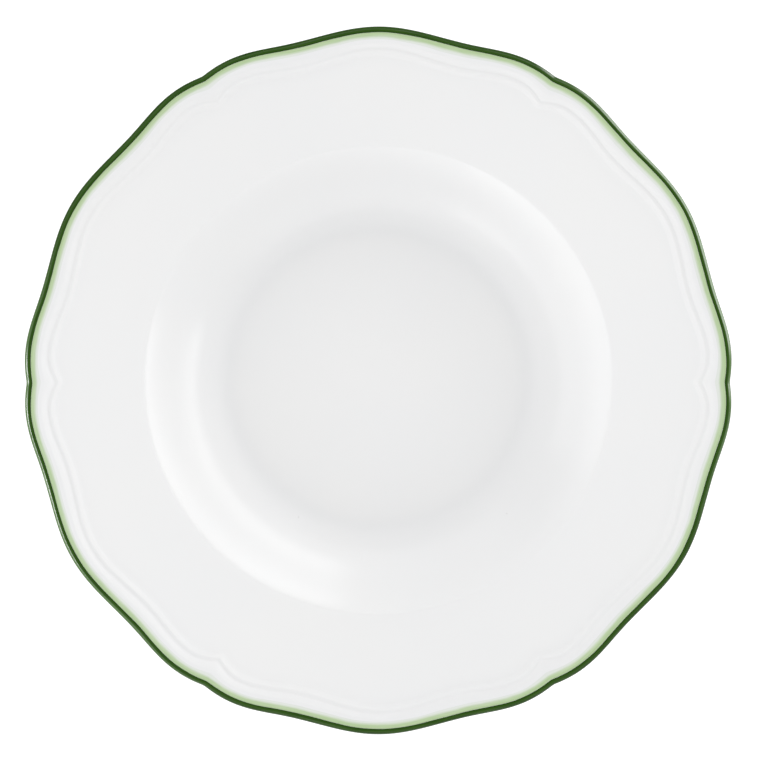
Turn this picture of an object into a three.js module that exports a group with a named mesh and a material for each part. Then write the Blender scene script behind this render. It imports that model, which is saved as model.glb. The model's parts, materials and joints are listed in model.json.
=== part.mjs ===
// A deep-rimmed china plate with a six-lobed, scalloped edge.
// Millimetres, +Z up. The origin is the centre of the foot ring's bearing face, with +X through
// a notch of the edge and +Y through the crest of a lobe.
//
// The plate is built up as a potter builds it: a fired porcelain body, a glaze coat over all of it
// but the foot ring's bare bearing face, and two bands of green enamel on the glaze round the rim.
// Each layer starts on the surface under it, so that neighbours share one surface.
import * as THREE from 'three';

// Plan sizes
const crestRadius = 120; // edge, at the crest of a lobe
const wellRadius = 80; // lip where the sloping wall meets the flange
const footOuterRadius = 51; // bearing face
const footWidth = 2.5; // bearing face

// Heights and thicknesses
const footHeight = 3; // bearing face to the recess under the floor
const floorThickness = 4.5;
const wellDepth = 20; // floor to the well's lip
const wallThickness = 4; // wall of the well and inner flange
const rimThickness = 3.6; // outer flange, before it thins to the edge
const edgeRadius = 1.6; // full round of the edge
const glazeThickness = 0.25;
const enamelThickness = 0.08;

// Slopes
const flangeAngle = THREE.MathUtils.degToRad(13.5);
const wallAngleAtLip = THREE.MathUtils.degToRad(38);

// Foot ring
const floorSetback = 1; // the floor's edge lies this far inside the foot's outer radius
const footFillet = 2; // run of the slopes from the foot's sides to the underside
const footChamfer = 0.5; // the sides lean out this far from the bearing face
const bareFootHeight = 0.9; // the glaze stops this far above the bearing face

// Rim, from the edge inwards: widths of its bands and moulding, and heights above the flange
const darkBandWidth = 0.4; // the dark band's reach past the edge's round
const lightBandWidth = 2.8;
const lipMargin = 0.3; // white of the lip's top inside the light band
const lipSlopeWidth = 2; // from the lip's top down to the valley
const ribRiseWidth = 1.4; // from the valley up to the rib's crest
const ribFallWidth = 2; // from the rib's crest down to the plain flange
const lipHeight = 0.8; // raised lip round the edge
const valleyHeight = 0.15;
const ribHeight = 0.55;
const taperInset = 8; // the underside rises from here out to the edge

// Scallops. A lobe runs from notch to notch. A line round the rim is drawn in from its radius at
// the crest by these drops: at the notch, at the shoulder beside it and at the flank's trough.
const lobes = 6;
const shoulderShare = 1 / 6; // of the way from a notch to a crest
const troughShare = 0.54;
const edgeDrops = { notch: 1, shoulder: 0.05, trough: 2 };
const reliefDrops = { notch: 3.6, shoulder: 0.3, trough: 2.9 }; // rib, valley and lip's slope

// Shares of the wall's run at which its curve is sampled, from the floor to the well's lip
const wallShares = [0, 0.2, 0.42, 0.65, 0.87, 1];

// Worked out from the sizes above
const floorZ = footHeight + floorThickness;
const floorRadius = footOuterRadius - floorSetback;
const footInnerRadius = footOuterRadius - footWidth;

// Limits of the bands and the moulding, as insets from the edge
const darkBandInset = edgeRadius + darkBandWidth;
const lightBandInset = darkBandInset + lightBandWidth;
const lipInset = lightBandInset + lipMargin;
const valleyInset = lipInset + lipSlopeWidth;
const ribInset = valleyInset + ribRiseWidth;
const ribFootInset = ribInset + ribFallWidth;

// Flange and rim -------------------------------------------------------------------------------

/** Height of the plain flange cone at a radius. */
const flangeZ = (radius) => floorZ + wellDepth + (radius - wellRadius) * Math.tan(flangeAngle);

/** Half a cosine wave from one value to another, as share goes from 0 to 1. */
const ease = (from, to, share) => from + ((to - from) * (1 - Math.cos(Math.PI * share))) / 2;

/** Height of the moulded face above the flange cone: edge, lip, valley, rib and plain flange. */
function mouldingHeight(inset) {
  if (inset < edgeRadius) return lipHeight - edgeRadius + Math.sqrt(inset * (2 * edgeRadius - inset));
  const turns = [
    [edgeRadius, lipHeight],
    [lipInset, lipHeight],
    [valleyInset, valleyHeight],
    [ribInset, ribHeight],
    [ribFootInset, 0],
  ];
  const next = turns.findIndex(([limit]) => inset < limit);
  if (next < 0) return 0;
  const [[start, from], [end, to]] = [turns[next - 1], turns[next]];
  return ease(from, to, (inset - start) / (end - start));
}

// A station is a place on the profile. Its scallop says how it is drawn in: null for a plain circle,
// or the share, from 0 to 1, of the relief's drops rather than the edge's.
const station = (r, z, scallop = null) => ({ r, z, scallop });

/** A station on the rim's face. The bands and the edge follow the edge's line, the rest the relief's. */
function rimFace(inset) {
  const radius = crestRadius - inset;
  const lipSlopeInset = (lipInset + valleyInset) / 2;
  const share = THREE.MathUtils.clamp((inset - lightBandInset) / (lipSlopeInset - lightBandInset), 0, 1);
  return station(radius, flangeZ(radius) + mouldingHeight(inset), share);
}

/** A station under the rim, at a depth below the flange cone. */
function rimUnderside(inset, depth) {
  const radius = crestRadius - inset;
  return station(radius, flangeZ(radius) - depth, 0);
}

/** A station on the lower half of the edge's round, which mirrors the upper half. */
function edgeUnderside(inset) {
  return rimUnderside(inset, mouldingHeight(inset) + 2 * (edgeRadius - lipHeight));
}

// Wall of the well ------------------------------------------------------------------------------

/** The wall's S-curve: a cubic that is level at the floor and has wallAngleAtLip at the lip. */
function wallFace(share) {
  const run = wellRadius - floorRadius;
  const square = share ** 2;
  const cube = share ** 3;
  const rise = wellDepth * (3 * square - 2 * cube) + Math.tan(wallAngleAtLip) * run * (cube - square);
  return station(floorRadius + run * share, floorZ + rise);
}

/** The wall's underside: its face moved through the wall's thickness, square to the face. */
function wallUnderside(share) {
  const here = wallFace(share);
  const next = wallFace(share + 0.001);
  const slope = Math.atan2(next.z - here.z, next.r - here.r);
  return station(here.r + wallThickness * Math.sin(slope), here.z - wallThickness * Math.cos(slope));
}

// Glazed surface: two runs of stations, which the bare foot ring parts ----------------------------

/** From the recess's centre out to the foot ring's inner side. */
const recessRun = [
  station(0, footHeight),
  station(footInnerRadius - footChamfer - footFillet, footHeight),
  station(footInnerRadius - footChamfer, bareFootHeight),
];

const edgeSteps = [0, edgeRadius * (1 - Math.SQRT1_2), edgeRadius]; // insets round the edge
const bandLimits = [darkBandInset, lightBandInset];
const mouldingLimits = [lipInset, valleyInset, ribInset, ribFootInset];
const faceInsets = [...edgeSteps, ...bandLimits, ...mouldingLimits].sort((a, b) => a - b);

/** From the foot ring's outer side to the last station under the edge. */
const underRun = [
  station(footOuterRadius + footChamfer, bareFootHeight),
  station(footOuterRadius + footChamfer + footFillet, floorZ - wallThickness),
  ...wallShares.slice(1, -1).map(wallUnderside),
  station(wellRadius + wallThickness, flangeZ(wellRadius + wallThickness) - wallThickness),
  rimUnderside(taperInset, rimThickness),
  edgeUnderside(edgeSteps[2]),
  edgeUnderside(edgeSteps[1]),
];

/** From the foot ring's outer side, over the edge, and in to the floor's centre. */
const mainRun = [
  ...underRun,
  ...faceInsets.map(rimFace),
  ...wallShares.toReversed().map(wallFace),
  station(0, floorZ),
];

// Layers ----------------------------------------------------------------------------------------

/** Moves a run along its own normals, outwards if the distance is positive. */
function moved(run, distance) {
  return run.map(({ r, z, scallop }, index) => {
    const before = run[Math.max(index - 1, 0)];
    const after = run[Math.min(index + 1, run.length - 1)];
    const across = after.r - before.r;
    const up = r === 0 ? 0 : after.z - before.z; // level on the axis
    const scale = distance / Math.hypot(across, up);
    return station(r + scale * up, z - scale * across, scallop);
  });
}

const recessUnderGlaze = moved(recessRun, -glazeThickness);
const mainUnderGlaze = moved(mainRun, -glazeThickness);
const mainOverEnamel = moved(mainRun, enamelThickness);

const bareFoot = [station(footInnerRadius, 0), station(footOuterRadius, 0)];
const bodyProfile = [...recessUnderGlaze, ...bareFoot, ...mainUnderGlaze];
const glazeProfile = [...mainUnderGlaze.toReversed(), ...mainRun];
const recessGlazeProfile = [...recessRun, ...recessUnderGlaze.toReversed()];

/** The closed profile of an enamel band that lies on the glaze between two stations of mainRun. */
function bandProfile(first, last) {
  const top = mainOverEnamel.slice(first, last + 1);
  const bottom = mainRun.slice(first, last + 1).toReversed();
  return [...top, ...bottom, top[0]];
}

const [darkLimit, lightLimit] = bandLimits.map((inset) => underRun.length + faceInsets.indexOf(inset));
const darkBandProfile = bandProfile(underRun.length - 1, darkLimit); // it wraps round the edge
const lightBandProfile = bandProfile(darkLimit, lightLimit);

// Scallops ----------------------------------------------------------------------------------------

/** How far a line is drawn in at an angle: a cusp at the notch, then cosine flanks to the crest. */
function drop(angle, { notch, shoulder, trough }) {
  const lobe = (2 * Math.PI) / lobes;
  const turn = THREE.MathUtils.euclideanModulo(angle, lobe) / lobe;
  const share = 2 * Math.min(turn, 1 - turn); // 0 at a notch, 1 at a crest
  if (share < shoulderShare) return shoulder + (notch - shoulder) * (1 - share / shoulderShare) ** 2;
  if (share > troughShare) return ease(trough, 0, (share - troughShare) / (1 - troughShare));
  return ease(shoulder, trough, (share - shoulderShare) / (troughShare - shoulderShare));
}

/** A station's place at an angle: drawn in by its line's drop, and so down the flange's slope. */
function placed({ r, z, scallop }, angle) {
  const inwards =
    scallop === null ? 0 : THREE.MathUtils.lerp(drop(angle, edgeDrops), drop(angle, reliefDrops), scallop);
  const radius = r - inwards;
  return [radius * Math.cos(angle), radius * Math.sin(angle), z - inwards * Math.tan(flangeAngle)];
}

/** The columns' angles: close together at a notch, with one on each shoulder, trough and crest. */
function columnAngles() {
  const middles = [shoulderShare * 0.4, (shoulderShare + troughShare) / 2, (troughShare + 1) / 2];
  const flank = [middles[0], shoulderShare, middles[1], troughShare, middles[2]];
  const lobe = [0, ...flank, 1, ...flank.toReversed().map((share) => 2 - share)];
  const halfLobe = Math.PI / lobes;
  return Array.from({ length: lobes }, (_, index) => lobe.map((share) => (2 * index + share) * halfLobe)).flat();
}

/** Triangles of the turned grid. A quad splits along its shorter diagonal, alike in every layer. */
function splitQuads(position, rows, columns) {
  const corner = (vertex) => new THREE.Vector3().fromBufferAttribute(position, vertex);
  const triangles = [];
  for (let column = 0; column < columns; column++) {
    for (let row = 0; row < rows - 1; row++) {
      const [a, b] = [column * rows + row, (column + 1) * rows + row];
      const [c, d] = [b + 1, a + 1];
      const splitsAlongAC = corner(a).distanceTo(corner(c)) < corner(b).distanceTo(corner(d));
      triangles.push(...(splitsAlongAC ? [a, b, c, a, c, d] : [a, b, d, b, c, d]));
    }
  }
  return triangles;
}

/** Turns a closed profile round the Z axis, and draws each column in to the scallops. */
function turned(profile) {
  const angles = columnAngles();
  const points = profile.map(({ r, z }) => new THREE.Vector2(r, z));
  const geometry = new THREE.LatheGeometry(points, angles.length);
  const position = geometry.getAttribute('position');
  for (let column = 0; column <= angles.length; column++) {
    profile.forEach((place, row) => {
      position.setXYZ(column * profile.length + row, ...placed(place, angles[column % angles.length]));
    });
  }
  geometry.setIndex(splitQuads(position, profile.length, angles.length));
  geometry.computeVertexNormals();
  return geometry;
}

// Finishes and pieces -------------------------------------------------------------------------------

const finish = (color, roughness) => new THREE.MeshStandardMaterial({ color, roughness, metalness: 0 });
const biscuit = finish(0xece7dd, 0.8);
const whiteGlaze = finish(0xf2f3f1, 0.12);
const darkGreenEnamel = finish(0x37542a, 0.25);
const lightGreenEnamel = finish(0xc1d4ac, 0.25);

function piece(name, profile, material) {
  const mesh = new THREE.Mesh(turned(profile), material);
  mesh.name = name;
  return mesh;
}

const plate = new THREE.Group();
plate.name = 'deep_rim_plate';
plate.add(
  piece('porcelain_body', bodyProfile, biscuit),
  piece('glaze_coat', glazeProfile, whiteGlaze),
  piece('foot_recess_glaze', recessGlazeProfile, whiteGlaze),
  piece('dark_green_edge_band', darkBandProfile, darkGreenEnamel),
  piece('light_green_inner_band', lightBandProfile, lightGreenEnamel),
);

export default plate;
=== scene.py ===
"""The looks of a deep-rimmed china plate with a scalloped edge and two green enamel bands.

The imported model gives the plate's places and overall sizes. Every visible layer is rebuilt here as
a fine surface: a profile in the plane of radius and height, turned round the Z axis and drawn in to
the scallops. Lengths are in millimetres until they are put into a mesh, which is in metres.
"""
import json
import logging
import math
from dataclasses import dataclass, field
from enum import Enum
from typing import Any

import bpy
import numpy as np
from mathutils import Matrix, Vector


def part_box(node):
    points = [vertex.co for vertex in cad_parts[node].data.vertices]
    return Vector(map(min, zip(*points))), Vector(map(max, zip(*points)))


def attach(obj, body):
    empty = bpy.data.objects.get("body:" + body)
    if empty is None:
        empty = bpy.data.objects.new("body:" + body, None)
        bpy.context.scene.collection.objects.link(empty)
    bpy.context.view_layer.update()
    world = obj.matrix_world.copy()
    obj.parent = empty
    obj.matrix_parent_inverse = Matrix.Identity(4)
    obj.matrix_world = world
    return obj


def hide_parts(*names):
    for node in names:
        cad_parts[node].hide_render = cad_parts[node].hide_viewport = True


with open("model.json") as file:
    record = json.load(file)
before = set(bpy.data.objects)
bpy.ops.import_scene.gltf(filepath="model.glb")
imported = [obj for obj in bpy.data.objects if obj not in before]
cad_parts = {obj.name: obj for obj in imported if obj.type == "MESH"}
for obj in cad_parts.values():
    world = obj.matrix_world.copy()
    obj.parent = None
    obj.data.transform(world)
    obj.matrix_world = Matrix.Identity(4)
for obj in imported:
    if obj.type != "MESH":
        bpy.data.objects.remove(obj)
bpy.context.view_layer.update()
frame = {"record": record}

LOG = logging.getLogger("china_plate")
MM = 0.001
BODY = "root"
FULL_TURN = 2 * math.pi

Colour = tuple[float, float, float]
Socket = bpy.types.NodeSocket


class Slot(Enum):
    """The record's material slots."""

    BISCUIT = "biscuit_porcelain"
    WHITE_GLAZE = "white_glaze"
    DARK_ENAMEL = "dark_green_enamel"
    LIGHT_ENAMEL = "light_green_enamel"


class Node(Enum):
    """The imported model's nodes."""

    BODY = "porcelain_body"
    GLAZE = "glaze_coat"
    RECESS_GLAZE = "foot_recess_glaze"
    DARK_BAND = "dark_green_edge_band"
    LIGHT_BAND = "light_green_inner_band"


# Curves -----------------------------------------------------------------------------------------


def ease(start: Any, end: Any, share: np.ndarray) -> np.ndarray:
    """Half a cosine wave from start to end as share goes from 0 to 1, and level beyond."""
    return start + (end - start) * (1 - np.cos(math.pi * np.clip(share, 0, 1))) / 2


def waver(angle: np.ndarray, waves: tuple[int, ...], seed: int) -> np.ndarray:
    """A line's small wander round the plate, which closes on itself.

    A sum of sines with whole numbers of waves, each with a drawn phase and its height falling with
    the square root of its number.

    Args:
        angle: angles round the plate, in radians.
        waves: how many waves each sine has in a turn.
        seed: what the phases are drawn from.

    Returns:
        The wander at each angle, about 1 high at most.
    """
    phases = np.random.default_rng(seed).uniform(0, FULL_TURN, len(waves))
    heights = 1 / np.sqrt(np.array(waves, float))
    total = sum(h * np.sin(n * angle + p) for h, n, p in zip(heights, waves, phases))
    return total / heights.sum()


def polar_points(radius: np.ndarray, angle: np.ndarray, height: np.ndarray) -> np.ndarray:
    """Points with X, Y and Z last, from arrays that broadcast together."""
    places = radius * np.cos(angle), radius * np.sin(angle), height
    return np.stack(np.broadcast_arrays(*places), axis=-1)


def soften(path: np.ndarray, reach: float, step: float = 0.1) -> np.ndarray:
    """Rounds a path's corners by a moving average along it, with its two ends kept.

    Args:
        path: points as rows of radius and height.
        reach: how far the average reaches to each side, in millimetres.
        step: distance between the points of the new path.

    Returns:
        The rounded path.
    """
    run = np.concatenate([[0], np.cumsum(np.hypot(*np.diff(path, axis=0).T))])
    places = np.linspace(0, run[-1], int(run[-1] / step) + 1)
    even = np.stack([np.interp(places, run, path[:, axis]) for axis in (0, 1)], axis=1)
    half = int(reach / step)
    window = np.hanning(2 * half + 3)[1:-1]
    padded = np.pad(even, ((half, half), (0, 0)), mode="reflect", reflect_type="odd")
    window = window / window.sum()
    return np.stack([np.convolve(column, window, mode="valid") for column in padded.T], axis=1)


@dataclass(frozen=True)
class ScallopLine:
    """How far a line round the rim is drawn in from its radius at a lobe's crest."""

    notch: float
    shoulder: float
    trough: float
    lobes: int = 6
    shoulder_share: float = 1 / 6
    trough_share: float = 0.54
    cusp_softness: float = 0.012

    def drop(self, angle: np.ndarray) -> np.ndarray:
        """The distance drawn in.

        Between a notch and a crest, share goes from 0 to 1. A parabola rises from the notch's cusp
        to the shoulder, and cosine flanks go by the trough to the crest.

        Args:
            angle: angles round the plate, in radians, from a notch.

        Returns:
            The drop at each angle, in millimetres.
        """
        turn = np.mod(angle * self.lobes / FULL_TURN, 1.0)
        share = np.minimum(np.hypot(2 * np.minimum(turn, 1 - turn), self.cusp_softness), 1.0)
        cusp = self.shoulder + (self.notch - self.shoulder) * (1 - share / self.shoulder_share) ** 2
        flank = (share - self.shoulder_share) / (self.trough_share - self.shoulder_share)
        rise = (share - self.trough_share) / (1 - self.trough_share)
        to_trough, to_crest = ease(self.shoulder, self.trough, flank), ease(self.trough, 0, rise)
        parts = [share < self.shoulder_share, share < self.trough_share]
        return np.select(parts, [cusp, to_trough], to_crest)


@dataclass
class Meridian:
    """A dense profile of radius and height, with how its points follow the scallops.

    relief goes from 0 on the edge's line to 1 on the moulding's line. follow goes from 0, where the
    plate is round, to 1 on the rim. Travel along it keeps the material on the left.
    """

    r: np.ndarray
    z: np.ndarray
    relief: np.ndarray
    follow: np.ndarray
    run: np.ndarray = field(init=False)
    normal: np.ndarray = field(init=False)

    def __post_init__(self) -> None:
        """Measures the run along the path and its outward normals."""
        self.run = np.concatenate([[0], np.cumsum(np.hypot(np.diff(self.r), np.diff(self.z)))])
        across, up = np.gradient(self.r, self.run), np.gradient(self.z, self.run)
        size = np.hypot(across, up)
        self.normal = np.stack([up / size, -across / size])
        self.normal[:, self.r == 0] = np.sign(self.normal[:, self.r == 0]) * [[0], [1]]

    @classmethod
    def plain(cls, path: np.ndarray) -> "Meridian":
        """A profile that is round everywhere."""
        none = np.zeros(len(path))
        return cls(path[:, 0], path[:, 1], none, none)

    def moved(self, distance: float) -> "Meridian":
        """The same profile moved outwards along its normals."""
        r, z = self.r + distance * self.normal[0], self.z + distance * self.normal[1]
        return Meridian(r, z, self.relief, self.follow)

    def reversed(self) -> "Meridian":
        """The same profile, travelled the other way."""
        return Meridian(self.r[::-1], self.z[::-1], self.relief[::-1], self.follow[::-1])

    def joined(self, *others: "Meridian") -> "Meridian":
        """This profile followed by others."""
        lines = [(part.r, part.z, part.relief, part.follow) for part in (self, *others)]
        return Meridian(*(np.concatenate(line) for line in zip(*lines)))

    def at(self, run: np.ndarray) -> tuple[np.ndarray, ...]:
        """Radius, height, relief, follow and the normal's two parts, at places along the run."""
        values = (self.r, self.z, self.relief, self.follow, *self.normal)
        return tuple(np.interp(run, self.run, value) for value in values)

    def bend(self) -> np.ndarray:
        """The turn per millimetre at each point, positive in a hollow."""
        heading = np.unwrap(np.arctan2(self.normal[1], self.normal[0]))
        return -np.gradient(heading, self.run)

    def rows(self, longest: float, turn: float) -> np.ndarray:
        """Places for a mesh's rows: close together where the profile turns.

        Args:
            longest: the distance between rows on a straight stretch, in millimetres.
            turn: the turn between rows on a sharp bend, in degrees.

        Returns:
            Places along the run, from its start to its end.
        """
        density = 1 / longest + np.abs(self.bend()) / math.radians(turn)
        steps = (density[1:] + density[:-1]) / 2 * np.diff(self.run)
        amount = np.concatenate([[0], np.cumsum(steps)])
        return np.interp(np.linspace(0, amount[-1], int(amount[-1]) + 2), amount, self.run)


# The plate's shape ------------------------------------------------------------------------------


@dataclass
class PlateShape:
    """The plate's sizes in millimetres. The overall ones come from the frame."""

    crest_radius: float
    floor_z: float
    foot_middle: float
    well_radius: float = 80.0
    well_depth: float = 20.0
    flange_degrees: float = 13.5
    wall_degrees: float = 38.0
    lip_blend: float = 0.09
    wall_thickness: float = 4.0
    rim_thickness: float = 3.6
    edge_depth: float = 2.45
    foot_width: float = 2.5
    foot_chamfer: float = 0.5
    bare_foot_height: float = 0.9
    foot_height: float = 3.0
    floor_setback: float = 1.0
    glaze_thickness: float = 0.25
    edge_inset: float = 2.6
    lip_height: float = 0.8
    lip_fall: float = 0.1
    lip_inset: float = 5.1
    valley_inset: float = 7.1
    valley_height: float = 0.15
    rib_inset: float = 8.5
    rib_height: float = 0.55
    rib_foot_inset: float = 10.5
    taper_inset: float = 8.0
    under_wall_shares: tuple[float, float] = (0.2, 0.86)
    band_end_inset: float = 4.6
    round_from_radius: float = 86.0
    edge_line: ScallopLine = ScallopLine(notch=1.0, shoulder=0.05, trough=2.0)
    relief_line: ScallopLine = ScallopLine(notch=3.6, shoulder=0.3, trough=2.9)

    def __post_init__(self) -> None:
        """Works out the profiles of the glazed surfaces and the bare foot."""
        self.foot_outer = self.foot_middle + self.foot_width / 2
        self.foot_inner = self.foot_middle - self.foot_width / 2
        self.floor_radius = self.foot_outer - self.floor_setback
        self.flange_slope = math.tan(math.radians(self.flange_degrees))
        self.lip_z = self.floor_z + self.well_depth
        self.main = self.main_profile()
        self.recess = self.recess_profile()
        self.edge_run = float(self.main.run[np.argmax(self.main.r)])

    @classmethod
    def from_frame(cls) -> "PlateShape":
        """Takes the edge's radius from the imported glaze, and the floor and foot from the mounts."""
        mounts = {mount["name"]: mount["pos_m"] for mount in frame["record"]["mounts"]}
        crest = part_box(Node.GLAZE.value)[1].y
        return cls(crest / MM, mounts["well_floor"][2] / MM, mounts["foot_face"][0] / MM)

    def flange_z(self, radius: np.ndarray) -> np.ndarray:
        """Height of the flange's plain cone."""
        return self.lip_z + (radius - self.well_radius) * self.flange_slope

    def moulding(self, inset: np.ndarray) -> np.ndarray:
        """Height of the face above the flange's cone, going in from the edge.

        The lip's top rises a little. Cosine slopes then fall to the valley, rise to the rib and
        fall to the flange.

        Args:
            inset: distances in from the edge, in millimetres.

        Returns:
            The heights.
        """
        slope = (inset - self.lip_inset) / (self.valley_inset - self.lip_inset)
        outer = (inset - self.valley_inset) / (self.rib_inset - self.valley_inset)
        inner = (inset - self.rib_inset) / (self.rib_foot_inset - self.rib_inset)
        lip_top = self.lip_height - self.lip_fall * np.maximum(self.lip_inset - inset, 0)
        lip_slope = ease(lip_top, self.valley_height, slope)
        rib_rise = ease(self.valley_height, self.rib_height, outer)
        rib_fall = ease(self.rib_height, 0.0, inner)
        parts = [inset < self.valley_inset, inset < self.rib_inset]
        return np.select(parts, [lip_slope, rib_rise], rib_fall)

    def wall_z(self, radius: np.ndarray) -> np.ndarray:
        """Height of the well's wall: a cubic, level at the floor, and straight past the lip."""
        run = self.well_radius - self.floor_radius
        share = np.clip((radius - self.floor_radius) / run, 0, 1)
        end_slope = math.tan(math.radians(self.wall_degrees))
        square, cube = share**2, share**3
        cubic = self.well_depth * (3 * square - 2 * cube) + end_slope * run * (cube - square)
        return self.floor_z + cubic + np.maximum(radius - self.well_radius, 0) * end_slope

    def face_z(self, radius: np.ndarray) -> np.ndarray:
        """Height of the face: the lower of wall and flange, blended at the lip, plus moulding."""
        wall, flange = self.wall_z(radius), self.flange_z(radius)
        lower = -self.lip_blend * np.logaddexp(-wall / self.lip_blend, -flange / self.lip_blend)
        return lower + self.moulding(self.crest_radius - radius)

    def on_cone(self, inset: float, height: float) -> tuple[float, float]:
        """A point of the profile at an inset from the edge and a height above the flange's cone."""
        radius = self.crest_radius - inset
        return radius, self.flange_z(radius) + height

    def underside_path(self) -> np.ndarray:
        """From the foot's outer side to under the edge, with every corner rounded.

        It follows the wall, moved down square to itself, then the flange and its taper.
        """
        share = np.linspace(*self.under_wall_shares, 60)
        radius = self.floor_radius + share * (self.well_radius - self.floor_radius)
        slope = np.arctan(np.gradient(self.wall_z(radius), radius))
        wall_r = radius + self.wall_thickness * np.sin(slope)
        wall_z = self.wall_z(radius) - self.wall_thickness * np.cos(slope)
        side, top = self.foot_outer + self.foot_chamfer, self.foot_height
        flange_inset = self.crest_radius - self.well_radius - self.wall_thickness
        corners = [
            [(side, self.bare_foot_height), (side + 0.4, top - 0.5), (side + 2, top + 0.7)],
            np.stack([wall_r, wall_z], axis=1),
            [self.on_cone(flange_inset, -self.wall_thickness)],
            [self.on_cone(self.taper_inset, -self.rim_thickness)],
            [self.on_cone(self.edge_inset, -self.edge_depth)],
        ]
        return soften(np.concatenate(corners), reach=1.6)

    def edge_path(self) -> np.ndarray:
        """Round the edge, from its underside to the lip's level top.

        A small round leads to a bevel of two nearly equal slopes. The lip's top is level past it.
        """
        corners = [
            (self.edge_inset, -self.edge_depth),
            (1.1, -self.edge_depth + 0.15),
            (0.3, -self.edge_depth + 0.55),
            (0, -1.35),
            (0.02, -0.9),
            (0.08, -0.76),
            (0.55, -0.234),
            (1.0, 0.246),
            (1.7, self.moulding(1.7)),
            (self.edge_inset, self.moulding(self.edge_inset)),
        ]
        path = np.array([self.on_cone(*corner) for corner in corners])
        return soften(path, reach=0.18, step=0.02)

    def main_profile(self) -> Meridian:
        """The glazed surface from the foot's outer side, over the edge, to the floor's centre."""
        under, edge = self.underside_path(), self.edge_path()
        rim_r = np.arange(self.crest_radius - self.edge_inset, self.floor_radius, -0.08)[1:]
        face_r = np.concatenate([rim_r, np.linspace(self.floor_radius, 0, 120)])
        face = np.stack([face_r, self.face_z(face_r)], axis=1)
        path = np.concatenate([under[:-1], edge, face])
        inset = self.crest_radius - path[:, 0]
        on_face = np.arange(len(path)) >= len(under) + len(edge)
        slope_run = (self.lip_inset + self.valley_inset) / 2 - self.band_end_inset
        relief = np.clip((inset - self.band_end_inset) / slope_run, 0, 1) * on_face
        follow_run = self.crest_radius - self.rib_foot_inset - self.round_from_radius
        follow = ease(0.0, 1.0, (path[:, 0] - self.round_from_radius) / follow_run)
        return Meridian(path[:, 0], path[:, 1], relief, follow)

    def run_at_inset(self, inset: np.ndarray) -> np.ndarray:
        """The run along the main profile, on its face, at insets from the edge."""
        face = np.argmax(self.main.r)
        return np.interp(inset, self.crest_radius - self.main.r[face:], self.main.run[face:])

    def recess_profile(self) -> Meridian:
        """The glazed surface from the recess's centre out to the foot's inner side."""
        side, top = self.foot_inner - self.foot_chamfer, self.foot_height
        bend = [(side - 1.2, top), (side - 0.2, top - 0.5), (side, self.bare_foot_height)]
        path = soften(np.array([(0, top), *bend]), reach=1.0)
        path[0, 0] = 0
        return Meridian.plain(path)

    def bare_foot_profile(self) -> Meridian:
        """The foot's bare sides and bearing face, from the inner glaze line to the outer one."""
        inner = self.recess.moved(-self.glaze_thickness)
        outer = self.main.moved(-self.glaze_thickness)
        worn = 0.25
        corners = [
            (inner.r[-1], inner.z[-1]),
            (self.foot_inner - worn * 0.4, worn * 1.4),
            (self.foot_inner + worn, 0),
            (self.foot_outer - worn, 0),
            (self.foot_outer + worn * 0.4, worn * 1.4),
            (outer.r[0], outer.z[0]),
        ]
        return Meridian.plain(soften(np.array(corners), reach=0.15, step=0.03)[1:-1])

    def placed(
        self, meridian: Meridian, run: np.ndarray, angle: np.ndarray, lift: np.ndarray | float
    ) -> np.ndarray:
        """Points of a surface in metres.

        A point of the profile, lifted along its normal, is turned to its angle, drawn in by its
        scallop line's drop, and lowered by the flange's slope times that drop.

        Args:
            meridian: the profile.
            run: places along it, as an array that broadcasts with angle.
            angle: angles round the plate.
            lift: distance outwards from the profile.

        Returns:
            An array of points, with X, Y and Z last.
        """
        r, z, relief, follow, normal_r, normal_z = meridian.at(run)
        drop = self.edge_line.drop(angle) * (1 - relief) + self.relief_line.drop(angle) * relief
        inwards = follow * drop
        radius = r + lift * normal_r - inwards
        height = z + lift * normal_z - inwards * self.flange_slope
        return polar_points(radius, angle, height) * MM


# Meshes -----------------------------------------------------------------------------------------


class Ends(Enum):
    """How the first and last rows of a grid are finished."""

    POLES = "each row is one point on the axis"
    JOINED = "the last row meets the first"


def grid_faces(rows: int, columns: int, ends: Ends) -> tuple[np.ndarray, np.ndarray]:
    """Corners of the faces of a grid that closes round the plate.

    With poles, vertex 0 is the first pole, the rows between them follow, and the last vertex is the
    last pole.

    Args:
        rows: how many rows the grid has, without poles.
        columns: how many columns it has.
        ends: how its first and last rows are finished.

    Returns:
        The quads, and the triangles at the poles.
    """
    first = 1 if ends is Ends.POLES else 0
    index = first + np.arange(rows * columns).reshape(rows, columns)
    lower = index if ends is Ends.JOINED else index[:-1]
    upper = np.roll(index, -1, axis=0) if ends is Ends.JOINED else index[1:]
    beside, above = np.roll(lower, -1, axis=1), np.roll(upper, -1, axis=1)
    quads = np.stack([lower, beside, above, upper], axis=-1).reshape(-1, 4)
    if ends is Ends.JOINED:
        return quads, np.empty((0, 3), int)
    start, end = index[0], index[-1]
    last_pole = first + rows * columns
    bottom = np.stack([np.zeros_like(start), np.roll(start, -1), start], axis=-1)
    top = np.stack([np.full_like(end, last_pole), end, np.roll(end, -1)], axis=-1)
    return quads, np.concatenate([bottom, top])


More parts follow.
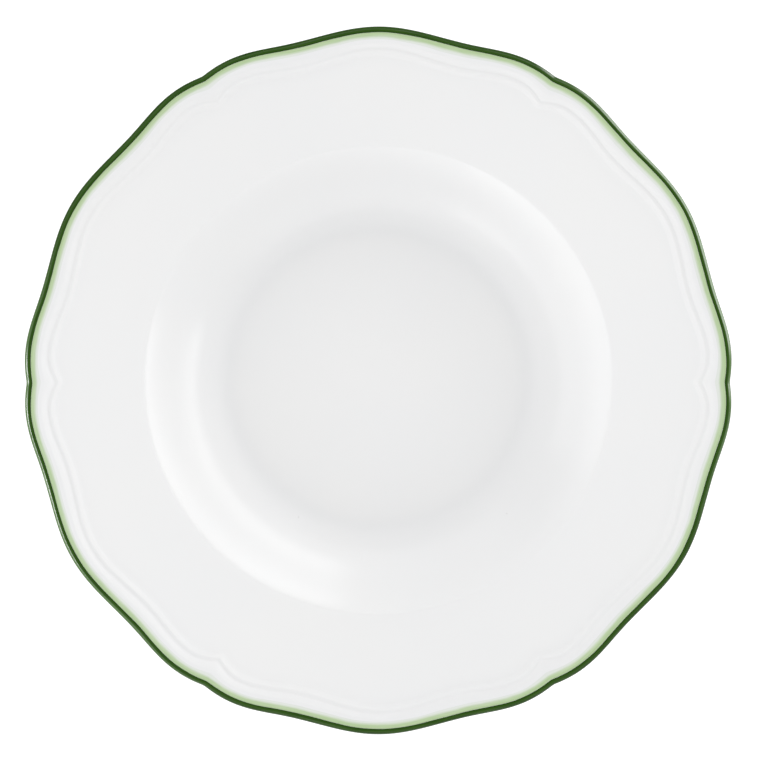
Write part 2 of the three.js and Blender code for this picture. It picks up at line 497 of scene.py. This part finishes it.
def grid_object(
    name: str, points: np.ndarray, ends: Ends, values: dict[str, np.ndarray]
) -> bpy.types.Object:
    """A smooth mesh object from a grid of points round the plate.

    Args:
        name: the piece's name.
        points: rows of columns of points, in metres. With poles, the first and last rows lie on
            the axis.
        ends: how the first and last rows are finished.
        values: an attribute's name to one number for each point of the grid.

    Returns:
        The object, linked to the scene, at the origin.
    """

    def flat(grid: np.ndarray) -> np.ndarray:
        """A grid's rows as one list, with one entry for each pole."""
        body = grid if ends is Ends.JOINED else grid[1:-1]
        rest = body.reshape(-1, *grid.shape[2:])
        return rest if ends is Ends.JOINED else np.concatenate([grid[0, :1], rest, grid[-1, :1]])

    rows = len(points) if ends is Ends.JOINED else len(points) - 2
    quads, triangles = grid_faces(rows, points.shape[1], ends)
    mesh = bpy.data.meshes.new(name)
    mesh.from_pydata(flat(points).tolist(), [], quads.tolist() + triangles.tolist())
    for key, grid in values.items():
        attribute = mesh.attributes.new(key, "FLOAT", "POINT")
        attribute.data.foreach_set("value", flat(grid).astype(np.float32))
    mesh.shade_smooth()
    mesh.update()
    piece = bpy.data.objects.new(name, mesh)
    bpy.context.scene.collection.objects.link(piece)
    return piece


# Finishes ---------------------------------------------------------------------------------------


class Nodes:
    """A tree of shader nodes, added one by one and linked as they are added."""

    def __init__(self, tree: bpy.types.NodeTree) -> None:
        """Starts from the tree that a new material or world has."""
        self.tree = tree

    def set(self, node: bpy.types.Node, inputs: dict[Any, Any]) -> None:
        """Sets a node's inputs by name or number, to values or to other nodes' outputs."""
        for key, value in inputs.items():
            if isinstance(value, bpy.types.NodeSocket):
                self.tree.links.new(value, node.inputs[key])
            else:
                node.inputs[key].default_value = value

    def add(
        self, kind: str, inputs: dict[Any, Any] | None = None, **settings: Any
    ) -> bpy.types.Node:
        """Adds a node.

        Args:
            kind: the node's type without its ShaderNode prefix.
            inputs: its inputs by name or number.
            settings: its own properties.

        Returns:
            The node.
        """
        node = self.tree.nodes.new("ShaderNode" + kind)
        for key, value in settings.items():
            setattr(node, key, value)
        self.set(node, inputs or {})
        return node

    def between(
        self, value: Any, start: float, end: float, low: float = 0.0, high: float = 1.0
    ) -> Socket:
        """A value's place between start and end, as a smooth step from low to high."""
        inputs = {"Value": value, "From Min": start, "From Max": end, "To Min": low, "To Max": high}
        return self.add("MapRange", inputs, interpolation_type="SMOOTHSTEP").outputs["Result"]

    def sum(self, a: Any, b: Any, operation: str = "ADD") -> Socket:
        """Arithmetic on two numbers."""
        return self.add("Math", {0: a, 1: b}, operation=operation).outputs[0]

    def facing(self, vector: Socket, degrees: float) -> Socket:
        """The part of a vector that points to an azimuth."""
        turn = math.radians(degrees)
        inputs = {0: vector, 1: (math.cos(turn), math.sin(turn), 0.0)}
        return self.add("VectorMath", inputs, operation="DOT_PRODUCT").outputs["Value"]

    def level(self, vector: Socket) -> Socket:
        """A vector laid level, one long."""
        flat = self.add("VectorMath", {0: vector, 1: (1.0, 1.0, 0.0)}, operation="MULTIPLY")
        return self.add("VectorMath", {0: flat.outputs[0]}, operation="NORMALIZE").outputs[0]

    def blend(self, share: Any, a: Any, b: Any) -> Socket:
        """A mix of two numbers, from a at 0 to b at 1."""
        return self.add("Mix", {0: share, 2: a, 3: b}, data_type="FLOAT").outputs[0]

    def mix(self, share: Any, a: Any, b: Any) -> Socket:
        """A mix of two colours, from a at 0 to b at 1."""
        node = self.add("Mix", data_type="RGBA")
        sockets = {0: share, 6: a, 7: b}
        self.set(node, {k: (*v, 1.0) if isinstance(v, tuple) else v for k, v in sockets.items()})
        return node.outputs[2]


class Recipe(Nodes):
    """A material's nodes, round a Principled shader."""

    def __init__(self, name: str) -> None:
        """Makes the material."""
        self.material = bpy.data.materials.new(name)
        self.material.use_nodes = True
        super().__init__(self.material.node_tree)
        self.shader = self.tree.nodes["Principled BSDF"]

    def place(self) -> Socket:
        """The piece's own coordinates, in metres."""
        return self.add("TexCoord").outputs["Object"]

    def value(self, name: str) -> Socket:
        """A number that the mesh carries."""
        return self.add("Attribute", attribute_name=name).outputs["Fac"]

    def noise(self, vector: Socket, grain: float, detail: float = 2.0) -> Socket:
        """Smooth noise, with a grain in millimetres."""
        inputs = {"Vector": vector, "Scale": 1 / (grain * MM), "Detail": detail, "Roughness": 0.5}
        return self.add("TexNoise", inputs).outputs["Fac"]

    def bump(self, height: Socket, depth: float, strength: float = 1.0) -> Socket:
        """A normal from a height, with its depth in millimetres."""
        inputs = {"Height": height, "Distance": depth * MM, "Strength": strength}
        return self.add("Bump", inputs).outputs["Normal"]


@dataclass(frozen=True)
class WhiteGlaze:
    """A clear glaze on white porcelain, glossy, painted a touch darker and cooler as shade in its
    hollows, where this also shows pooled glaze, and on the rim's level lip.

    It has an orange-peel surface, a few specks of iron and slight changes of tone.
    """

    colour: Colour = (0.832, 0.832, 0.831)
    cooler: Colour = (0.825, 0.827, 0.830)
    # Painted shade: a darker, cooler glaze for the hollows and the rim's lip, also tinted like pooled
    # glaze in the hollows.
    shaded_and_pooled: Colour = (0.791, 0.796, 0.804)
    speck: Colour = (0.30, 0.27, 0.23)
    speck_spacing: float = 9.0
    speck_radius: float = 0.022
    speck_strength: float = 0.6
    roughness: tuple[float, float] = (0.07, 0.12)

    def make(self, name: str) -> bpy.types.Material:
        """Builds the material, which takes from the mesh where to paint shade and pooled glaze."""
        recipe = Recipe(name)
        place = recipe.place()
        tone = recipe.between(recipe.noise(place, grain=45.0), 0.3, 0.7)
        colour = recipe.mix(tone, self.colour, self.cooler)
        # Painted shade in the hollows and on the rim's lip, read from the mesh.
        colour = recipe.mix(recipe.value("shade_and_pooling"), colour, self.shaded_and_pooled)
        colour = recipe.mix(self.specks(recipe, place), colour, self.speck)
        patches = recipe.noise(place, grain=18.0, detail=4.0)
        smear = recipe.between(patches, 0.35, 0.7, *self.roughness)
        peel = recipe.noise(place, grain=5.0, detail=1.0)
        recipe.set(
            recipe.shader,
            {
                "Base Color": colour,
                "Roughness": smear,
                "IOR": 1.5,
                "Normal": recipe.bump(peel, depth=0.012, strength=0.6),
            },
        )
        return recipe.material

    def specks(self, recipe: Recipe, place: Socket) -> Socket:
        """How dark the specks are at a place: small dots in about one cell of ten.

        Cells are a spacing wide, and a speck's radius is a share of that.
        """
        cells = {"Vector": place, "Scale": 1 / (self.speck_spacing * MM), "Randomness": 1.0}
        cells = recipe.add("TexVoronoi", cells).outputs
        near = recipe.between(cells["Distance"], self.speck_radius, self.speck_radius - 0.01)
        drawn = recipe.add("SeparateColor", {0: cells["Color"]}).outputs[0]
        dots = recipe.sum(near, recipe.between(drawn, 0.9, 0.92), "MULTIPLY")
        return recipe.sum(dots, self.speck_strength, "MULTIPLY")


@dataclass(frozen=True)
class Biscuit:
    """Bare fired porcelain: matt, warm white and finely sandy, greyed where the foot has rubbed."""

    colour: Colour = (0.74, 0.70, 0.63)
    rubbed: Colour = (0.52, 0.50, 0.46)
    grain_shade: float = 0.9
    rubbed_height: float = 0.35
    roughness: float = 0.78

    def make(self, name: str) -> bpy.types.Material:
        """Builds the material."""
        recipe = Recipe(name)
        place = recipe.place()
        height = recipe.add("SeparateXYZ", {0: place}).outputs["Z"]
        low = recipe.between(height, self.rubbed_height * MM, 0.0)
        patches = recipe.between(recipe.noise(place, grain=7.0, detail=6.0), 0.42, 0.68)
        rubbed = recipe.sum(low, patches, "MULTIPLY")
        grains = recipe.noise(place, grain=0.25, detail=3.0)
        darker = tuple(part * self.grain_shade for part in self.colour)
        sandy = recipe.mix(recipe.between(grains, 0.35, 0.65), self.colour, darker)
        recipe.set(
            recipe.shader,
            {
                "Base Color": recipe.mix(rubbed, sandy, self.rubbed),
                "Roughness": self.roughness,
                "Normal": recipe.bump(grains, depth=0.06, strength=0.7),
            },
        )
        return recipe.material


@dataclass(frozen=True)
class DarkEnamel:
    """Dark green overglaze enamel, brushed on: streaked along the stroke and thicker at its edges.

    It is glossiest round the edge of the rim. On two opposite sides of the plate, a lighter green is
    painted on the rim's bevel as a highlight. Each pair of places across the
    band is where a step starts and where it ends.
    """

    colour: Colour = (0.020, 0.064, 0.004)
    thin: Colour = (0.033, 0.088, 0.008)
    thick: Colour = (0.018, 0.052, 0.006)
    # Painted highlight: the lighter green painted on the bevel, and the azimuth of the two sides it
    # faces.
    highlight_colour: Colour = (0.13, 0.23, 0.085)
    highlight_azimuth: float = 20
    bevel_start: tuple[float, float] = (0.36, 0.43)
    bevel_end: tuple[float, float] = (0.74, 0.64)
    roughness: tuple[float, float] = (0.06, 0.11)
    gloss: tuple[float, float] = (0.9, 0.12)
    gloss_step: tuple[float, float] = (0.60, 0.72)

    def make(self, name: str) -> bpy.types.Material:
        """Builds the material."""
        recipe = Recipe(name)
        across = recipe.value("across")
        streaks = recipe.noise(streak_place(recipe, across), grain=1.0, detail=3.0)
        colour = recipe.mix(recipe.between(streaks, 0.3, 0.7), self.colour, self.thin)
        off_middle = recipe.sum(across, 0.5, "SUBTRACT")
        from_middle = recipe.add("Math", {0: off_middle}, operation="ABSOLUTE").outputs[0]
        wavering = recipe.sum(from_middle, recipe.sum(streaks, 0.12, "MULTIPLY"))
        colour = recipe.mix(recipe.between(wavering, 0.34, 0.54), colour, self.thick)
        # Painted highlight: a lighter green on the bevel, most on two opposite sides.
        colour = recipe.mix(self.highlight_share(recipe, across, streaks), colour, self.highlight_colour)
        recipe.set(
            recipe.shader,
            {
                "Base Color": colour,
                "Roughness": recipe.between(streaks, 0.3, 0.7, *self.roughness),
                "IOR": 1.5,
                "Specular IOR Level": recipe.between(across, *self.gloss_step, *self.gloss),
                "Normal": recipe.bump(streaks, depth=0.002, strength=0.5),
            },
        )
        return recipe.material

    def highlight_share(self, recipe: Recipe, across: Socket, streaks: Socket) -> Socket:
        """How much painted highlight the enamel gets: on the bevel, most on two opposite sides of the
        plate.

        Args:
            recipe: the material's nodes.
            across: the place across the band, from 0 to 1.
            streaks: noise along the strokes.

        Returns:
            A share from 0 to 1.
        """
        facing = recipe.facing(recipe.level(recipe.place()), self.highlight_azimuth)
        side = recipe.between(recipe.sum(facing, 2.0, "POWER"), 0.4, 1.0)
        ragged = recipe.sum(across, recipe.sum(streaks, 0.1, "MULTIPLY"))
        inside = recipe.between(ragged, *self.bevel_start)
        outside = recipe.between(ragged, *self.bevel_end)
        return recipe.sum(side, recipe.sum(inside, outside, "MULTIPLY"), "MULTIPLY")


@dataclass(frozen=True)
class LightEnamel:
    """Light green overglaze enamel: a streaked wash, whose inner edge fades to the glaze's
    painted-shade colour.
    """

    glaze: WhiteGlaze
    colour: Colour = (0.435, 0.568, 0.322)
    thin: Colour = (0.50, 0.615, 0.39)
    edge: Colour = (0.40, 0.54, 0.28)
    wash_step: tuple[float, float] = (0.39, 0.79)
    wash_share: float = 0.8
    last_step: tuple[float, float] = (0.8, 1.0)
    last_share: float = 0.14
    roughness: float = 0.12

    def make(self, name: str) -> bpy.types.Material:
        """Builds the material."""
        recipe = Recipe(name)
        across = recipe.value("across")
        streaks = recipe.noise(streak_place(recipe, across), grain=1.0, detail=3.0)
        colour = recipe.mix(recipe.between(streaks, 0.35, 0.65), self.colour, self.thin)
        colour = recipe.mix(recipe.between(across, 0.3, 0.0), colour, self.edge)
        patchy = recipe.noise(recipe.place(), grain=6.0, detail=3.0)
        inner = recipe.sum(recipe.sum(patchy, 0.16, "MULTIPLY"), across)
        washed = recipe.between(inner, *self.wash_step, 0.0, self.wash_share)
        fade = recipe.sum(washed, recipe.between(across, *self.last_step, 0.0, self.last_share))
        recipe.set(
            recipe.shader,
            {
                # The fade ends in the glaze's darker painted-shade colour.
                "Base Color": recipe.mix(fade, colour, self.glaze.shaded_and_pooled),
                "Roughness": self.roughness,
                "IOR": 1.5,
                "Normal": recipe.bump(streaks, depth=0.003, strength=0.5),
            },
        )
        return recipe.material


def streak_place(recipe: Recipe, across: Socket) -> Socket:
    """Coordinates for streaks along a brushed band: fine across it and long round the plate.

    Args:
        recipe: the material's nodes.
        across: the place across the band, from 0 to 1.

    Returns:
        A vector: the place across, stretched, beside the piece's X and Y, shrunk.
    """
    parts = recipe.add("SeparateXYZ", {0: recipe.place()})
    across_length = 9 * MM
    along_share = 0.1
    inputs = {
        "X": recipe.sum(across, across_length, "MULTIPLY"),
        "Y": recipe.sum(parts.outputs["X"], along_share, "MULTIPLY"),
        "Z": recipe.sum(parts.outputs["Y"], along_share, "MULTIPLY"),
    }
    return recipe.add("CombineXYZ", inputs).outputs[0]


# Sub-assemblies ---------------------------------------------------------------------------------


def finish_piece(
    piece: bpy.types.Object, material: bpy.types.Material, node: Node
) -> None:
    """Dresses a piece, and ties it to the frame: what it rides on and what it replaces."""
    piece.data.materials.append(material)
    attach(piece, BODY)
    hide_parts(node.value)
    LOG.info("%s: %d faces, for %s", piece.name, len(piece.data.polygons), node.value)


def column_angles(columns: int) -> np.ndarray:
    """The angles of columns spread evenly round the plate, the first through a notch."""
    return np.arange(columns) * FULL_TURN / columns


@dataclass
class FiredPorcelain:
    """The porcelain body and the glaze over it."""

    shape: PlateShape
    glaze: WhiteGlaze = WhiteGlaze()
    biscuit: Biscuit = Biscuit()
    columns: int = 540
    # Painted shade: how much in the hollows, where it also stands for pooled glaze, less in the rim's
    # hollows, and on the rim's level lip.
    hollow_shade_and_pooling: float = 0.6
    full_bend: float = 0.07
    rim_loss: float = 0.8
    lip_shade: float = 0.75

    def build(self) -> None:
        """Makes the two coats of glaze and the body under them."""
        shape = self.shape
        white_glaze = self.glaze.make("plate white glaze")
        main_coat = self.coat(shape.main, at_start=True, longest=3.0, turn=9.0)
        face = self.turned("plate_glaze", main_coat)
        finish_piece(face, white_glaze, Node.GLAZE)
        recess_coat = self.coat(shape.recess, at_start=False, longest=3.0, turn=6.0)
        recess = self.turned("recess_glaze", recess_coat)
        finish_piece(recess, white_glaze, Node.RECESS_GLAZE)
        body = self.turned("porcelain", self.body_profile())
        finish_piece(body, self.biscuit.make("biscuit foot"), Node.BODY)

    def body_profile(self) -> Meridian:
        """The body's profile: under the recess's glaze, round the foot, under the main glaze."""
        shape = self.shape
        inside = shape.recess.moved(-shape.glaze_thickness)
        outside = shape.main.moved(-shape.glaze_thickness)
        foot = shape.bare_foot_profile()
        under_recess = self.sampled(inside, inside.rows(longest=6.0, turn=12.0))
        bare = self.sampled(foot, foot.rows(longest=1.0, turn=15.0))
        under_main = self.sampled(outside, outside.rows(longest=4.0, turn=12.0))
        return under_recess.joined(bare, under_main)

    def coat(self, outer: Meridian, at_start: bool, longest: float, turn: float) -> Meridian:
        """The profile of a coat of glaze: its outer face, a half round at the foot, its inner face.

        The inner face is hidden, so it has fewer rows.

        Args:
            outer: the glazed surface, with one end on the axis and the other on the foot.
            at_start: whether the foot is at the start of the surface.
            longest: the distance between rows on a straight stretch, in millimetres.
            turn: the turn between rows on a bend, in degrees.

        Returns:
            The profile, from the axis and back to it.
        """
        thickness = self.shape.glaze_thickness
        inner = outer.moved(-thickness)
        coarser = 3
        face = self.sampled(outer, outer.rows(longest, turn))
        back = self.sampled(inner, inner.rows(longest * coarser, turn * coarser)).reversed()
        end = self.rounded_end(outer, thickness, at_start)
        return back.joined(end, face) if at_start else face.joined(end, back)

    @staticmethod
    def sampled(meridian: Meridian, rows: np.ndarray) -> Meridian:
        """A profile with points only at its rows."""
        r, z, relief, follow, *_ = meridian.at(rows)
        return Meridian(r, z, relief, follow)

    @staticmethod
    def rounded_end(outer: Meridian, thickness: float, at_start: bool) -> Meridian:
        """The half round that closes a coat at the foot, without its two ends."""
        index, side = (0, -1) if at_start else (-1, 1)
        normal = outer.normal[:, index]
        along = np.array([-normal[1], normal[0]])
        centre = np.array([outer.r[index], outer.z[index]]) - normal * thickness / 2
        turn = np.linspace(side * math.pi / 2, -side * math.pi / 2, 9)[1:-1, None]
        outwards = np.sin(turn) * normal + side * np.cos(turn) * along
        return Meridian.plain(centre + thickness / 2 * outwards)

    def turned(self, name: str, profile: Meridian) -> bpy.types.Object:
        """A solid turned from a profile that starts and ends on the axis.

        How much painted shade the glaze gets is stored, from 0 to 1: in the hollows, where it also
        stands for pooled glaze, least in the rim's, and on the rim's level lip, where it is painted
        shade only.

        Args:
            name: the piece's name.
            profile: the whole profile, with a row of the mesh at each of its points.

        Returns:
            The piece.
        """
        run, angle = np.meshgrid(profile.run, column_angles(self.columns), indexing="ij")
        points = self.shape.placed(profile, run, angle, 0.0)
        # Painted shade: in the bends of the hollows and on the level lip.
        hollows = self.hollow_shade_and_pooling * np.clip(profile.bend() / self.full_bend, 0, 1)
        hollows *= 1 - self.rim_loss * profile.follow
        lip = self.lip_shade * profile.follow * (1 - profile.relief)
        shade_and_pooling = np.maximum(hollows, lip)[:, None] * np.ones(self.columns)
        return grid_object(name, points, Ends.POLES, {"shade_and_pooling": shade_and_pooling})


@dataclass
class EnamelBands:
    """The two brushed bands round the rim, which meet on one wandering line.

    The light band's inner line also leans: it is nearer the middle on the +X side.
    """

    shape: PlateShape
    glaze: WhiteGlaze
    dark: DarkEnamel = DarkEnamel()
    columns: int = 1080
    thickness: float = 0.06
    sink: float = 0.03
    overlap: float = 0.08
    dark_inset: float = 2.0
    light_inset: float = 5.0
    under_wrap: float = 0.8
    under_wander: float = 0.12
    meeting_wander: float = 0.14
    inner_wander: float = 0.22
    inner_lean: float = 0.2
    rows_over: int = 62
    rows_under: int = 10
    row_crowding: float = 0.06

    def build(self) -> None:
        """Makes the dark band on the edge and the light band inside it."""
        angle = column_angles(self.columns)
        under_line = self.under_wander * waver(angle, (7, 16, 31, 54), seed=3)
        lower = self.shape.edge_run - self.under_wrap + under_line
        meeting_line = self.meeting_wander * waver(angle, (9, 23, 41, 67), seed=5)
        meeting = self.shape.run_at_inset(self.dark_inset + meeting_line)
        inner_line = self.inner_wander * waver(angle, (8, 19, 37, 61), seed=8)
        inner_line += self.inner_lean * np.cos(angle)
        inner = self.shape.run_at_inset(self.light_inset + inner_line)
        dark = self.band("dark_green_band", lower, meeting + self.overlap, ends=(0.10, 0.08))
        finish_piece(dark, self.dark.make("dark green enamel"), Node.DARK_BAND)
        light = self.band("light_green_band", meeting - self.overlap, inner, ends=(0.08, 0.6))
        light_enamel = LightEnamel(self.glaze).make("light green enamel")
        finish_piece(light, light_enamel, Node.LIGHT_BAND)

    def band(
        self, name: str, first: np.ndarray, last: np.ndarray, ends: tuple[float, float]
    ) -> bpy.types.Object:
        """A thin closed strip that lies on the glaze, with its underside sunk into it.

        Its height over the glaze rises from each of its two lines as half a cosine wave. Its rows
        are closest together near those lines.

        Args:
            name: the piece's name.
            first: run of its outer line at each column.
            last: run of its inner line at each column.
            ends: shares of its width over which it rises from the outer and the inner line.

        Returns:
            The piece.
        """
        even = np.linspace(0, 1, self.rows_over)
        top = even - self.row_crowding * np.sin(FULL_TURN * even)
        under = np.linspace(1, 0, self.rows_under + 2)[1:-1]
        across = np.concatenate([top, under])[:, None] * np.ones(self.columns)
        rise = [ease(0.0, 1.0, side / share) for side, share in zip((top, 1 - top), ends)]
        lift = -self.sink + (self.thickness + self.sink) * rise[0] * rise[1]
        lift = np.concatenate([lift, np.full(len(under), -self.sink * 1.5)])[:, None]
        run = first + (last - first) * across
        points = self.shape.placed(self.shape.main, run, column_angles(self.columns), lift)
        return grid_object(name, points, Ends.JOINED, {"across": across})


# Stage ------------------------------------------------------------------------------------------


def sines(*degrees: float) -> list[float]:
    """The sine of each angle, which is the Z of a direction at that height above the horizon."""
    return [math.sin(math.radians(angle)) for angle in degrees]


@dataclass(frozen=True)
class Glow:
    """A soft-edged patch of light low in the studio's sky. Angles are in degrees."""

    azimuth: float
    half_width: float
    low: float
    high: float
    radiance: float
    side_fade: float = 12.0
    edge_fade: float = 2.0

    def strength(self, nodes: Nodes, direction: Socket, height: Socket) -> Socket:
        """The patch's radiance in each direction.

        Args:
            nodes: the sky's nodes.
            direction: the direction looked in, levelled to the horizon.
            height: the sine of its angle above the horizon.

        Returns:
            The radiance.
        """
        fade = self.edge_fade
        edges = [math.cos(math.radians(self.half_width + wider)) for wider in (self.side_fade, 0)]
        low = sines(self.low - fade, self.low + fade)
        high = sines(self.high + fade, self.high - fade)
        ahead = nodes.between(nodes.facing(direction, self.azimuth), *edges)
        sides = nodes.sum(ahead, nodes.between(height, *low), "MULTIPLY")
        return nodes.sum(sides, nodes.between(height, *high, 0.0, self.radiance), "MULTIPLY")


@dataclass
class Studio:
    """A plain pale floor, a white sky with soft patches of light at the sides, and the camera."""

    zenith: float = 0.7
    middle: float = 0.86
    sides: float = 0.38
    side_azimuth: float = 20
    horizon: float = 0.14
    horizon_lean: float = 0.04
    backdrop: float = 1.0
    floor_glow: float = 0.7
    floor_albedo: float = 0.6
    floor_radius: float = 3.0
    floor_thickness: float = 0.01
    glows: tuple[Glow, ...] = (
        Glow(205, half_width=38, low=12, high=20, radiance=0.85, edge_fade=4),
        Glow(30, half_width=42, low=12, high=20, radiance=1.5, edge_fade=4),
        Glow(199, half_width=5, low=4.2, high=6.6, radiance=11.0, side_fade=22, edge_fade=0.8),
        Glow(28, half_width=20, low=-2, high=5.8, radiance=3.4, edge_fade=1),
        Glow(90, half_width=30, low=10, high=32, radiance=0.5, side_fade=25, edge_fade=5),
        Glow(270, half_width=30, low=10, high=32, radiance=0.5, side_fade=25, edge_fade=5),
    )

    def build(self) -> None:
        """Makes the floor, the sky and the camera."""
        self.floor()
        self.sky()
        self.camera()

    def floor(self) -> None:
        """A level disc under the plate, which looks brighter than its light makes it."""
        wide, low = self.floor_radius, -self.floor_thickness
        radius = np.array([0.0, wide, wide, 0.5, 0.15, 0.0])[:, None]
        height = np.array([low, low, 0.0, 0.0, 0.0, 0.0])[:, None]
        points = polar_points(radius, column_angles(96), height)
        floor = grid_object("floor", points, Ends.POLES, {})
        floor.data.shade_flat()
        recipe = Recipe("pale floor")
        seen = recipe.add("LightPath").outputs["Is Camera Ray"]
        inputs = {
            "Base Color": (self.floor_albedo,) * 3 + (1.0,),
            "Roughness": 1.0,
            "Specular IOR Level": 0.0,
            "Emission Color": (1.0, 1.0, 1.0, 1.0),
            "Emission Strength": recipe.sum(seen, self.floor_glow, "MULTIPLY"),
        }
        recipe.set(recipe.shader, inputs)
        floor.data.materials.append(recipe.material)

    def sky(self) -> None:
        """A white sky, brighter at the sides than overhead and dim at the horizon, with its glows.

        Looked at by the camera itself, it is an even, pale backdrop.
        """
        world = bpy.data.worlds.new("studio sky")
        world.use_nodes = True
        bpy.context.scene.world = world
        nodes = Nodes(world.node_tree)
        direction = nodes.add("TexCoord").outputs["Generated"]
        height = nodes.add("SeparateXYZ", {0: direction}).outputs["Z"]
        level = nodes.level(direction)
        sideways = nodes.sum(nodes.facing(level, self.side_azimuth), 2.0, "POWER")
        low_sky = nodes.sum(nodes.sum(sideways, self.sides, "MULTIPLY"), self.middle)
        overhead = nodes.between(height, *sines(45, 90))
        light = nodes.blend(overhead, low_sky, self.zenith)
        front = nodes.add("SeparateXYZ", {0: level}).outputs["Y"]
        leaning = nodes.sum(height, nodes.sum(front, -self.horizon_lean, "MULTIPLY"))
        rising = nodes.between(leaning, *sines(5, 9), self.horizon, 1.0)
        light = nodes.sum(light, rising, "MULTIPLY")
        for glow in self.glows:
            light = nodes.sum(light, glow.strength(nodes, level, height))
        seen = nodes.add("LightPath").outputs["Is Camera Ray"]
        strength = nodes.blend(seen, light, self.backdrop)
        background = world.node_tree.nodes["Background"]
        nodes.set(background, {"Color": (1.0, 1.0, 1.0, 1.0), "Strength": strength})

    def camera(self) -> None:
        """A long lens above the plate, a little off its axis, aimed at the middle of the rim."""
        data = bpy.data.cameras.new("camera")
        data.lens = 150
        data.sensor_width = 36
        camera = bpy.data.objects.new("camera", data)
        rim_middle = Vector((0.00002, 0.00048, 0.0365))
        camera.location = (-0.019, 0.054, rim_middle.z + 1.0735)
        towards = (camera.location - rim_middle).normalized()
        right = Vector((0, 1, 0)).cross(towards).normalized()
        turn = Matrix((right, towards.cross(right), towards)).transposed()
        camera.rotation_euler = turn.to_euler()
        data.clip_start, data.clip_end = 0.05, 20
        bpy.context.scene.collection.objects.link(camera)
        bpy.context.scene.camera = camera


def main() -> None:
    """Builds the plate and its studio."""
    logging.basicConfig(level=logging.INFO, format="%(message)s")
    bpy.context.scene.view_settings.view_transform = "Standard"
    shape = PlateShape.from_frame()
    porcelain = FiredPorcelain(shape)
    porcelain.build()
    EnamelBands(shape, porcelain.glaze).build()
    Studio().build()


if __name__ == "__main__":
    main()
